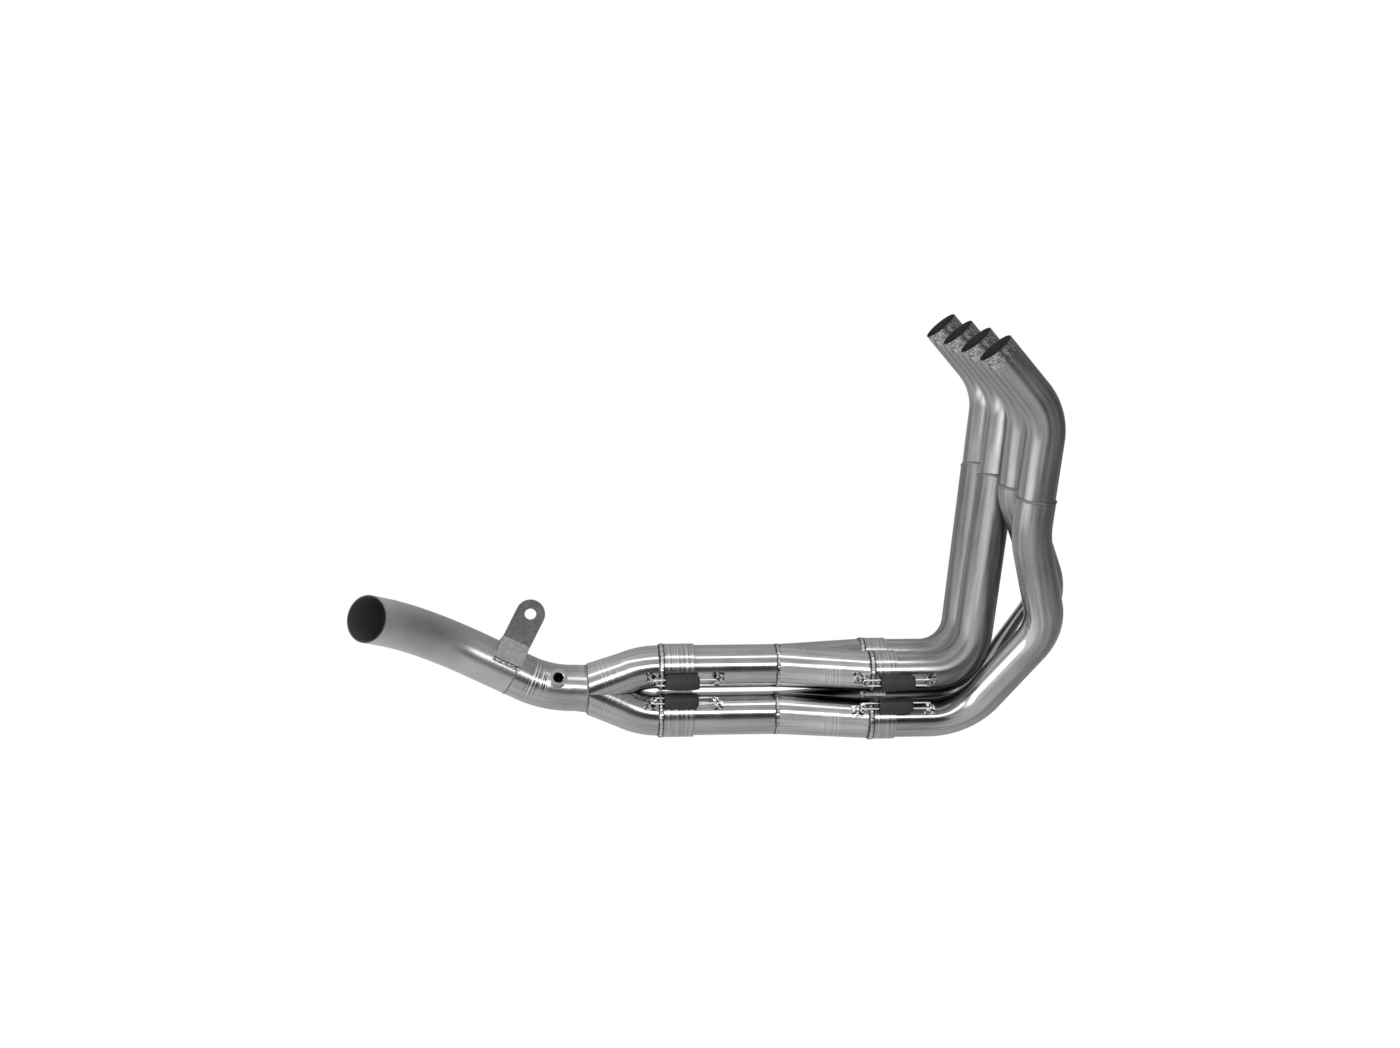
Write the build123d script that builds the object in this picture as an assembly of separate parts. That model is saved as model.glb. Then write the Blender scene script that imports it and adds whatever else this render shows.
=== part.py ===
from build123d import *
import os
from math import cos, radians, sin, tan

# A four-into-two-into-one exhaust header for a four-cylinder motorcycle, in millimetres.
# +X points to the front wheel, +Z up, and the bike's right-hand side is at -Y.
# The header lies on the plane Z = 0, under the middle of its own box.
# Cylinder 1 is the farthest from the right-hand side and cylinder 4 the nearest.

# Tubes, outside diameters and wall
head_od = 38.0
primary_od = 40.0
secondary_od = 45.0
link_od = 48.0
tube_wall = 1.2

# Slip sleeves: a tube slides into each with this clearance on the radius
slip_clearance = 0.15
primary_sleeve_wall = 1.35
final_sleeve_wall = 1.45
primary_sleeve_length = 25.5
final_sleeve_length = 34.5
tube_end_gap = 1.5

# Weld beads
bead_width = 4.0
bead_proud = 0.8
bead_sink = 0.3

# Stations along X, forwards from the final collector's outlet
final_outlet_x = -129.7
final_collector_length = 76.5
secondary_length = 121.0
pair_collector_length = 94.5

# Spacings of the runs under the engine
run_spacing_z = 51.0
branch_spacing_y = 55.0

# The cylinder head: ports at one pitch, and each pipe leaves on the same slant
cylinder_pitch = 80.0
head_setback = 95.5
head_height = 423.0
head_leg_reach = 57.0
head_leg_drop = 65.0
head_bend_radius = 60.0
pipe_joint_height = 272.0

# Corners of the primary pipes: distance in front of the pair collectors' inlets
upper_corner_reach = 104.0
upper_corner_radius = 47.0
lower_far_corner_reach = 120.0
lower_near_corner_reach = 100.0
lower_corner_radius = 66.0

# Pipes 3 and 4 swing forwards at two knees each. High knees: reach, side and drop below the
# pipe joint. Low knees: reach, side and rise above the lower run
knee_3_high = (147.5, -30.0, 10.0)
knee_3_low = (195.5, -2.0, 124.5)
knee_4_high = (142.5, -108.0, 39.0)
knee_4_low = (173.0, -75.0, 107.5)
knee_3_high_radius = 38.0
knee_4_high_radius = 80.0
low_knee_radius = 60.0

# Pair collectors: each branch is a cone that runs into one outlet
pair_inlet_od = 41.5

# Final collector: two bent branches that widen as they merge at the outlet
final_outlet_lift = 3.0
merge_offset = 1.2
branch_corner_setback = 18.0
branch_bend_radius = 80.0
branch_taper_start = 20.0
branch_outlet_radius = 24.0

# Link pipe: a flared inlet, a bend, a weld, and the tail that turns to the bike's right
link_flare_radius = 24.8
link_flare_length = 14.0
link_flare_drop = 1.2
link_run = 41.0
link_bend_radius = 112.0
link_rise_angle = 26.1
link_joint_distance = 40.0
tail_corner_distance = 147.0
tail_bend_radius = 130.0
tail_leg_length = 90.0
tail_turn_angle = 54.6
tail_rise_angle = 17.5

# Lambda sensor bung, M12 x 1.25, on the bend of the link pipe
bung_od = 18.0
bung_bore = 10.7
bung_chamfer = 0.7
bung_face_radius = 31.5
bung_tilt = 33.0
bung_distance = 33.5

# Hanger bracket: a folded plate whose foot lies on the side of the link pipe
bracket_wall = 3.0
bracket_width = 30.0
bracket_hole = 12.0
bracket_hole_height = 65.7
bracket_distance = 52.5
bracket_plane_offset = 12.9
bracket_foot_angle = 24.0
bracket_foot_short = 2.0
bracket_fit = 0.02
bracket_fold_radius = 2.5
flange_wall = 2.0
flange_depth = 21.0
flange_rise = 2.5
bracket_weld_radius = 2.2

# Retaining springs in rubber covers, with a hook at each end
coil_radius = 5.55
coil_wire_radius = 0.85
coil_pitch = 3.4
coil_setback = 1.0
cover_clearance = 0.1
cover_wall = 1.7
cover_length = 35.0
cover_stand_off = 0.6
hook_wire_radius = 0.9
hook_half_width = 3.2
hook_corner_radius = 1.8
hook_head_length = 1.6
hook_head_clearance = 0.25
hook_depth_in_coil = 4.0

# Spring lugs: a pad on the pipe and a hooked finger that passes through the wire loop
lug_wall = 1.5
lug_length = 12.0
lug_width = 12.0
finger_wall = 2.2
finger_width = 3.8
finger_clearance = 0.3
finger_lip = 3.0

# Where each spring sits: its middle and its two hook points, from the joint's plane
primary_spring_middle = 23.5
primary_spring_rear_hook = -12.0
primary_spring_front_hook = 58.0
final_spring_middle = 20.0
final_spring_rear_hook = -9.5
final_spring_front_hook = 56.0

# Angle of each spring above the horizontal, seen along the pipe
upper_primary_spring_angle = -10.0
lower_primary_spring_angle = 40.0
upper_final_spring_angle = -16.0
lower_final_spring_angle = 40.0

# Radii and stations that follow
head_r = head_od / 2
primary_r = primary_od / 2
secondary_r = secondary_od / 2
link_r = link_od / 2
pair_inlet_r = pair_inlet_od / 2
primary_sleeve_inner = primary_r + slip_clearance
primary_sleeve_outer = primary_sleeve_inner + primary_sleeve_wall
final_sleeve_inner = secondary_r + slip_clearance
final_sleeve_outer = final_sleeve_inner + final_sleeve_wall
final_inlet_x = final_outlet_x + final_collector_length
secondary_end_x = final_inlet_x + tube_end_gap
pair_outlet_x = secondary_end_x + secondary_length
pair_inlet_x = pair_outlet_x + pair_collector_length
primary_end_x = pair_inlet_x + tube_end_gap
lower_run_z = final_sleeve_outer + bead_proud
upper_run_z = lower_run_z + run_spacing_z
final_outlet_z = (lower_run_z + upper_run_z) / 2 + final_outlet_lift
branch_y = branch_spacing_y / 2
cover_inner = coil_radius + coil_wire_radius + cover_clearance
cover_outer = cover_inner + cover_wall
along_x = (1, 0, 0)

os.makedirs("parts", exist_ok=True)


def save(name, shape):
    """Write one node's solids."""
    export_step(shape, f"parts/{name}.step")


def straight(start, end):
    """A straight path."""
    return Edge.make_line(start, end)


def rod(path, radius):
    """A round bar along a path."""
    section = Plane(origin=path.position_at(0), z_dir=path.tangent_at(0)) * Circle(radius)
    return sweep(section, path=path)


def tube(path, radius):
    """A round tube along a path."""
    return rod(path, radius) - rod(path, radius - tube_wall)


def sleeve(start, end, inner, outer):
    """A straight sleeve between two points."""
    path = straight(start, end)
    return rod(path, outer) - rod(path, inner)


def square_to(direction):
    """A unit vector square to a direction."""
    side = Vector(0, 1, 0) if abs(direction.normalized().Y) < 0.9 else Vector(1, 0, 0)
    return direction.cross(side).normalized()


def bead(origin, direction, back_radius, front_radius, *neighbours):
    """A weld bead round a joint, cut to lie on the two pieces that it joins."""
    half = bead_width / 2
    top = max(back_radius, front_radius) + bead_proud
    back_base = back_radius - bead_sink
    front_base = front_radius - bead_sink
    crown = ThreePointArc((-half, back_base), (0, top), (half, front_base))
    corners = [(half, front_base), (0, front_base)]
    if front_base != back_base:
        corners.append((0, back_base))
    base = Polyline(*corners, (-half, back_base))
    ring = revolve(make_face(crown.edges() + base.edges()), Axis.X)
    place = Plane(origin=origin, x_dir=direction, z_dir=square_to(Vector(*direction)))
    ring = place * ring
    for piece in neighbours:
        ring = ring - piece
    return ring


# Head pipes, and the primary pipes that run from their joints to the pair collectors
def port_y(cylinder):
    """Side position of a cylinder's port: cylinder 1 is the farthest from the viewer's side."""
    return (2.5 - cylinder) * cylinder_pitch


def mouth_of(cylinder):
    """Centre of a head pipe's open end."""
    return Vector(pair_inlet_x + head_setback, port_y(cylinder), head_height)


def high_knee(reach, side, drop):
    """A knee's corner, from its reach past the pair collectors and its drop below the joint."""
    return Vector(pair_inlet_x + reach, side, pipe_joint_height - drop)


def low_knee(reach, side, rise):
    """A knee's corner, from its reach past the pair collectors and its rise over the run."""
    return Vector(pair_inlet_x + reach, side, lower_run_z + rise)


def run_of(cylinder):
    """Side position and height of the run that a cylinder's pipe ends in."""
    side = branch_y if cylinder in (1, 3) else -branch_y
    height = upper_run_z if cylinder in (1, 2) else lower_run_z
    return side, height


def corners_below(cylinder):
    """Corners of a pipe under its head bend, with the radius of each."""
    side, height = run_of(cylinder)
    if cylinder in (1, 2):
        return [Vector(pair_inlet_x + upper_corner_reach, side, height)], [upper_corner_radius]
    if cylinder == 3:
        corner = Vector(pair_inlet_x + lower_far_corner_reach, side, height)
        knees = [high_knee(*knee_3_high), low_knee(*knee_3_low)]
        high_radius = knee_3_high_radius
    else:
        corner = Vector(pair_inlet_x + lower_near_corner_reach, side, height)
        knees = [high_knee(*knee_4_high), low_knee(*knee_4_low)]
        high_radius = knee_4_high_radius
    return knees + [corner], [high_radius, low_knee_radius, lower_corner_radius]


head_pipes = {}
primary_pipes = {}
last_bends = {}
for cylinder in (1, 2, 3, 4):
    mouth = mouth_of(cylinder)
    head_corner = mouth + Vector(head_leg_reach, 0, -head_leg_drop)
    corners, radii = corners_below(cylinder)
    descent = corners[0] - head_corner
    joint = head_corner + descent * ((head_corner.Z - pipe_joint_height) / -descent.Z)
    side, height = run_of(cylinder)
    end = Vector(primary_end_x, side, height)
    head_path = FilletPolyline(mouth, head_corner, joint, radius=[head_bend_radius])
    primary_path = FilletPolyline(joint, *corners, end, radius=radii)
    before_last = ([joint] + corners)[-2]
    last_bends[cylinder] = FilletPolyline(before_last, corners[-1], end, radius=radii[-1:])
    head_pipes[cylinder] = tube(head_path, head_r)
    primary_pipes[cylinder] = tube(primary_path, primary_r)
    save(f"head_pipe_{cylinder}", head_pipes[cylinder])
    save(f"primary_pipe_{cylinder}", primary_pipes[cylinder])
    up = descent * -1
    save(f"pipe_weld_{cylinder}", bead(
        joint, up, primary_r, head_r, head_pipes[cylinder], primary_pipes[cylinder]))


# Pair collectors: two cones cut on the plane between them
def pair_branch(side, height, grow):
    """One cone of a pair collector, on its own side of the middle plane."""
    inlet = Plane(origin=(pair_inlet_x, side, height), z_dir=along_x) * Circle(pair_inlet_r + grow)
    outlet = Plane(origin=(pair_outlet_x, 0, height), z_dir=along_x) * Circle(secondary_r + grow)
    cone = loft([outlet.face(), inlet.face()], ruled=True)
    middle = Plane(origin=(0, 0, 0), z_dir=(0, side, 0))
    return split(cone, bisect_by=middle, keep=Keep.TOP)


def pair_body(height, grow):
    """Both cones of a pair collector as one solid, thicker all round by grow."""
    return pair_branch(branch_y, height, grow) + pair_branch(-branch_y, height, grow)


pair_collectors = {}
secondary_pipes = {}
for name, height in (("upper", upper_run_z), ("lower", lower_run_z)):
    collector = pair_body(height, 0) - pair_body(height, -tube_wall)
    pair_collectors[name] = collector
    save(f"pair_collector_{name}", collector)
    outlet = (pair_outlet_x, 0, height)
    pipe = tube(straight(outlet, (secondary_end_x, 0, height)), secondary_r)
    secondary_pipes[name] = pipe
    save(f"secondary_pipe_{name}", pipe)
    save(f"pair_outlet_weld_{name}", bead(
        outlet, along_x, secondary_r, secondary_r, collector, pipe))

for cylinder in (1, 2, 3, 4):
    side, height = run_of(cylinder)
    collector = pair_collectors["upper" if cylinder in (1, 2) else "lower"]
    inlet = (pair_inlet_x, side, height)
    slip = sleeve(inlet, (pair_inlet_x + primary_sleeve_length, side, height),
                  primary_sleeve_inner, primary_sleeve_outer)
    save(f"slip_sleeve_{cylinder}", slip)
    save(f"sleeve_weld_{cylinder}", bead(
        inlet, along_x, pair_inlet_r, primary_sleeve_outer, collector, slip))


# Final collector: two bent tubes that meet on a plane and are cut square at the outlet
final_outlet = Vector(final_outlet_x, 0, final_outlet_z)


def branch_route(height):
    """A branch's bent stretch, the end of its taper past the outlet, and the slope there."""
    inlet = Vector(final_inlet_x, 0, height)
    corner = inlet - Vector(branch_corner_setback, 0, 0)
    side = 1 if height > final_outlet_z else -1
    leg = final_outlet + Vector(0, 0, side * merge_offset) - corner
    taper_start = corner + leg.normalized() * branch_taper_start
    bend = FilletPolyline(inlet, corner, taper_start, radius=[branch_bend_radius])
    return bend, corner + leg, leg.Z / -leg.X


upper_bend, upper_meet, upper_slope = branch_route(upper_run_z)
lower_bend, lower_meet, lower_slope = branch_route(lower_run_z)
merge_run = 2 * merge_offset / (lower_slope - upper_slope)
merge_slope = (upper_slope + lower_slope) / 2
merge_point = upper_meet + Vector(-merge_run, 0, upper_slope * merge_run)
merge_plane = Plane(origin=merge_point, x_dir=(0, 1, 0), z_dir=(merge_slope, 0, 1))
outlet_plane = Plane(origin=final_outlet, z_dir=along_x)


def branch_body(bend, meet, grow):
    """One branch: its bend, then a taper that runs on past the outlet."""
    start = bend.position_at(1)
    leg = meet - start
    run_on = (leg.length + secondary_r) / leg.length
    far_radius = secondary_r + (branch_outlet_radius - secondary_r) * run_on
    narrow = Plane(origin=start, z_dir=leg) * Circle(secondary_r + grow)
    wide = Plane(origin=start + leg * run_on, z_dir=leg) * Circle(far_radius + grow)
    return rod(bend, secondary_r + grow) + loft([narrow.face(), wide.face()], ruled=True)


def final_body(grow):
    """Both branches as one solid, thicker all round by grow."""
    upper = split(branch_body(upper_bend, upper_meet, grow), bisect_by=merge_plane, keep=Keep.TOP)
    lower = split(branch_body(lower_bend, lower_meet, grow), bisect_by=merge_plane, keep=Keep.BOTTOM)
    return split(upper + lower, bisect_by=outlet_plane, keep=Keep.TOP)


final_collector = final_body(0) - final_body(-tube_wall)
save("final_collector", final_collector)

for name, height in (("upper", upper_run_z), ("lower", lower_run_z)):
    inlet = (final_inlet_x, 0, height)
    slip = sleeve(inlet, (final_inlet_x + final_sleeve_length, 0, height),
                  final_sleeve_inner, final_sleeve_outer)
    save(f"final_sleeve_{name}", slip)
    save(f"final_sleeve_weld_{name}", bead(
        inlet, along_x, secondary_r, final_sleeve_outer, final_collector, slip))

# Link pipe and tail pipe
rise = Vector(-cos(radians(link_rise_angle)), 0, sin(radians(link_rise_angle)))
rise_up = Vector(sin(radians(link_rise_angle)), 0, cos(radians(link_rise_angle)))
link_start = final_outlet + Vector(-link_flare_length, 0, link_flare_drop)
link_corner = link_start - Vector(link_run - link_flare_length, 0, 0)
link_joint = link_corner + rise * link_joint_distance
link_path = FilletPolyline(link_start, link_corner, link_joint, radius=[link_bend_radius])
tail_corner = link_corner + rise * tail_corner_distance
tail_direction = Vector(
    -cos(radians(tail_rise_angle)) * cos(radians(tail_turn_angle)),
    -cos(radians(tail_rise_angle)) * sin(radians(tail_turn_angle)),
    sin(radians(tail_rise_angle)))
tail_end = tail_corner + tail_direction * tail_leg_length
tail_path = FilletPolyline(tail_end, tail_corner, link_joint, radius=[tail_bend_radius])


def flare(grow):
    """The cone at the link pipe's inlet, dropped to meet the collector."""
    wide = Plane(origin=final_outlet, z_dir=along_x) * Circle(link_flare_radius + grow)
    narrow = Plane(origin=link_start, z_dir=along_x) * Circle(link_r + grow)
    return loft([narrow.face(), wide.face()], ruled=True)


def point_on_link(distance):
    """Place, direction and upward normal at a distance along the link pipe."""
    share = (distance - link_flare_length) / link_path.length
    direction = link_path.tangent_at(share)
    return link_path.position_at(share), direction, Vector(direction.Z, 0, -direction.X)


bung_centre, bung_along, bung_up = point_on_link(bung_distance)
bung_axis = (Vector(0, -cos(radians(bung_tilt)), 0) + bung_up * sin(radians(bung_tilt))).normalized()
bung_face = bung_centre + bung_axis * bung_face_radius
bung_hole = rod(straight(bung_centre, bung_face), bung_bore / 2)
link_outer = rod(link_path, link_r) + flare(0)
link_pipe = link_outer - rod(link_path, link_r - tube_wall) - flare(-tube_wall) - bung_hole
save("link_pipe", link_pipe)

tail_pipe = tube(tail_path, link_r)
save("tail_pipe", tail_pipe)
outlet_ring = bead(
    final_outlet, along_x, link_flare_radius, branch_outlet_radius + merge_offset, link_pipe)
save("outlet_weld", split(outlet_ring, bisect_by=outlet_plane, keep=Keep.BOTTOM))

bung = rod(straight(bung_centre, bung_face), bung_od / 2) - link_outer - bung_hole
rim_place = Plane(origin=bung_face, z_dir=bung_axis)
rim_cut = Cone(bung_bore / 2, bung_bore / 2 + bung_chamfer, bung_chamfer,
               align=(Align.CENTER, Align.CENTER, Align.MAX))
lambda_bung = bung - rim_place * rim_cut
save("lambda_bung", lambda_bung)

# Hanger bracket, drawn square to the link pipe: first across to the right, then up
bracket_centre = link_corner + rise * bracket_distance
bracket_place = Plane(origin=bracket_centre, x_dir=(0, -1, 0), z_dir=rise)
foot_cos = cos(radians(bracket_foot_angle))
foot_sin = sin(radians(bracket_foot_angle))
foot_distance = link_r + bracket_wall / 2 + bracket_fit
fold_height = (foot_distance - bracket_plane_offset * foot_cos) / foot_sin
foot_end = (foot_distance * foot_cos - bracket_foot_short * foot_sin,
            foot_distance * foot_sin + bracket_foot_short * foot_cos)
tab_top = bracket_hole_height + bracket_width / 2

fold = (bracket_plane_offset, fold_height)
half_wall = bracket_wall / 2
foot_across = (foot_cos * half_wall, foot_sin * half_wall)
fold_shift = half_wall * tan(radians(bracket_foot_angle) / 2)
foot_inner_end = (foot_end[0] - foot_across[0], foot_end[1] - foot_across[1])
fold_inner = (fold[0] - half_wall, fold[1] - fold_shift)
profile = FilletPolyline(
    foot_inner_end,
    fold_inner,
    (fold[0] - half_wall, tab_top),
    (fold[0] + half_wall, tab_top),
    (fold[0] + half_wall, fold[1] + fold_shift),
    (foot_end[0] + foot_across[0], foot_end[1] + foot_across[1]),
    radius=[0, bracket_fold_radius + bracket_wall, 0, 0, bracket_fold_radius, 0],
    close=True)
plate = extrude(make_face(profile.edges()), amount=bracket_width / 2, both=True)
tab = Rectangle(bracket_hole_height, bracket_width, align=(Align.MIN, Align.CENTER))
tab += Pos(bracket_hole_height, 0) * Circle(bracket_width / 2)
tab -= Pos(bracket_hole_height, 0) * Circle(bracket_hole / 2)
plate = plate & extrude(Plane.YZ * tab, amount=link_r + bracket_width, both=True)
flange_outline = Polyline(
    foot_inner_end,
    fold_inner,
    (foot_end[0] - flange_depth, link_r + flange_rise),
    (0, 0),
    close=True)
flange = extrude(
    Pos(0, 0, bracket_width / 2 - flange_wall) * make_face(flange_outline.edges()), amount=flange_wall)
pipe_under = Cylinder(link_r, 3 * bracket_width)
bracket = plate + flange - pipe_under
hanger_bracket = bracket_place * bracket
save("hanger_bracket", hanger_bracket)
weld_at = link_r + bead_proud
bar = Pos(weld_at * foot_cos, weld_at * foot_sin) * Cylinder(bracket_weld_radius, bracket_width)
bracket_weld = bracket_place * (bar - pipe_under - bracket)
save("bracket_weld", bracket_weld)
save("tail_weld", bead(
    link_joint, rise, link_r, link_r, link_pipe, tail_pipe, hanger_bracket, bracket_weld))


# Retaining springs. Each is drawn along X, with its distance from the pipe's axis along Z
def spring_coil(middle, height):
    """The coil inside a cover."""
    length = cover_length - 2 * coil_setback
    turns = Helix(pitch=coil_pitch, height=length - 2 * coil_wire_radius, radius=coil_radius,
                  center=(middle - length / 2 + coil_wire_radius, 0, height), direction=along_x)
    section = Plane(origin=turns.position_at(0), z_dir=turns.tangent_at(0)) * Circle(coil_wire_radius)
    return sweep(section, path=turns, is_frenet=True)


def spring_hook(hook_x, head_x, height):
    """A wire loop that reaches from inside the coil to a lug."""
    path = FilletPolyline(
        (head_x, hook_half_width, height),
        (hook_x, hook_half_width, height),
        (hook_x, -hook_half_width, height),
        (head_x, -hook_half_width, height),
        radius=hook_corner_radius)
    head_radius = coil_radius - coil_wire_radius - hook_head_clearance
    half = hook_head_length / 2
    head = rod(straight((head_x - half, 0, height), (head_x + half, 0, height)), head_radius)
    return rod(path, hook_wire_radius) + head


def spring_lug(hook_x, away, height, place, carrier, grown_carrier):
    """A pad and finger for a hook; away is 1 or -1, the way that the loop's end faces."""
    near = hook_x - away * (hook_wire_radius + finger_clearance + finger_wall)
    wire_top = height + hook_wire_radius + finger_clearance
    pad = Box(lug_length, lug_width, height)
    pad = Pos(near + away * lug_length / 2, 0, height / 2) * pad
    finger = Box(finger_wall, finger_width, wire_top + finger_wall)
    finger = Pos(near + away * finger_wall / 2, 0, (wire_top + finger_wall) / 2) * finger
    lip = Box(finger_wall + finger_lip, finger_width, finger_wall)
    lip = Pos(near + away * (finger_wall + finger_lip) / 2, 0, wire_top + finger_wall / 2) * lip
    return (place * pad & grown_carrier) + place * (finger + lip) - carrier


def spring_set(name, side, angle, axis, sleeve_outer, stations, rear_carrier, front_carrier):
    """Coil, cover, two hooks and two lugs at one slip joint."""
    middle, rear_hook, front_hook = stations
    tilt = radians(angle)
    place = Plane(origin=axis, x_dir=along_x, z_dir=(0, side * cos(tilt), sin(tilt)))
    height = sleeve_outer + cover_stand_off + cover_outer
    half = cover_length / 2
    inside = half - hook_depth_in_coil
    cover = sleeve((middle - half, 0, height), (middle + half, 0, height), cover_inner, cover_outer)
    save(f"spring_cover_{name}", place * cover)
    save(f"spring_{name}", place * spring_coil(middle, height))
    hooks = [spring_hook(rear_hook, middle - inside, height),
             spring_hook(front_hook, middle + inside, height)]
    save(f"spring_hooks_{name}", Compound([place * hook for hook in hooks]))
    return [spring_lug(rear_hook, -1, height, place, *rear_carrier),
            spring_lug(front_hook, 1, height, place, *front_carrier)]


primary_stations = (primary_spring_middle, primary_spring_rear_hook, primary_spring_front_hook)
final_stations = (final_spring_middle, final_spring_rear_hook, final_spring_front_hook)
rear_lugs = []
front_lugs = []
for cylinder in (1, 2, 3, 4):
    side, height = run_of(cylinder)
    angle = upper_primary_spring_angle if cylinder in (1, 2) else lower_primary_spring_angle
    front = last_bends[cylinder]
    rear, fore = spring_set(
        cylinder, 1 if side > 0 else -1, angle, (pair_inlet_x, side, height), primary_sleeve_outer,
        primary_stations,
        (pair_branch(side, height, 0), pair_branch(side, height, lug_wall)),
        (rod(front, primary_r), rod(front, primary_r + lug_wall)))
    rear_lugs.append(rear)
    front_lugs.append(fore)

branches = {"upper": upper_bend, "lower": lower_bend}
for name, height, angle in (("upper", upper_run_z, upper_final_spring_angle),
                            ("lower", lower_run_z, lower_final_spring_angle)):
    front = straight((secondary_end_x, 0, height), (pair_outlet_x, 0, height))
    rear, fore = spring_set(
        name, -1, angle, (final_inlet_x, 0, height), final_sleeve_outer, final_stations,
        (rod(branches[name], secondary_r), rod(branches[name], secondary_r + lug_wall)),
        (rod(front, secondary_r), rod(front, secondary_r + lug_wall)))
    rear_lugs.append(rear)
    front_lugs.append(fore)

save("collector_lugs", Compound(rear_lugs))
save("pipe_lugs", Compound(front_lugs))
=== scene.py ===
"""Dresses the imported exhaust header, and lights and frames it as a product picture.

Lengths in this file are millimetres unless a name says otherwise. They are turned into metres
where a mesh, a light or the camera is made. +X points to the front wheel, -Y to the viewer's
side of the bike and +Z up.
"""

import logging
from collections.abc import Iterable, Sequence
from dataclasses import dataclass, field
from enum import Enum
from math import acos, ceil, cos, pi, radians, sin, tan

import bmesh
import bpy
import numpy as np
from mathutils import Matrix, Vector

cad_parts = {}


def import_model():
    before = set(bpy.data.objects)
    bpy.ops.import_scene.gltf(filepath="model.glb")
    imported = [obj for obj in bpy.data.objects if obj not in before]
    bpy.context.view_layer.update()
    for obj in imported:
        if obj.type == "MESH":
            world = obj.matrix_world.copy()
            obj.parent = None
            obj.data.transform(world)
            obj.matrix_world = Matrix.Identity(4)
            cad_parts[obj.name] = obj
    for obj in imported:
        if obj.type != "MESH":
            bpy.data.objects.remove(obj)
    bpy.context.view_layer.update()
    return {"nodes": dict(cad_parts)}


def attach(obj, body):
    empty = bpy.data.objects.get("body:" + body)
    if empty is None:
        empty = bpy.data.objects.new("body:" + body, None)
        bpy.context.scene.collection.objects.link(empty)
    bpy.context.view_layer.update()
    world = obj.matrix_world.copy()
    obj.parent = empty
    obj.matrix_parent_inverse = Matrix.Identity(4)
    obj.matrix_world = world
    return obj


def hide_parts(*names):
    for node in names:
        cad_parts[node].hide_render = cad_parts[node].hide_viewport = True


LOG = logging.getLogger("header_scene")
MM = 0.001
BODY = "root"
SEED = 7
CYLINDERS = (1, 2, 3, 4)
SMALLEST_CUT = 1e-7
X_AXIS = np.array((1.0, 0.0, 0.0))
Y_AXIS = np.array((0.0, 1.0, 0.0))


def vec(x: float, y: float, z: float) -> np.ndarray:
    """A point or direction as an array."""
    return np.array((x, y, z), float)


def circle(segments: int) -> np.ndarray:
    """Evenly spaced angles of one turn, without the last."""
    return np.linspace(0, 2 * pi, segments, endpoint=False)


def unit(direction: np.ndarray) -> np.ndarray:
    """The direction with length one."""
    return direction / np.linalg.norm(direction)


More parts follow.
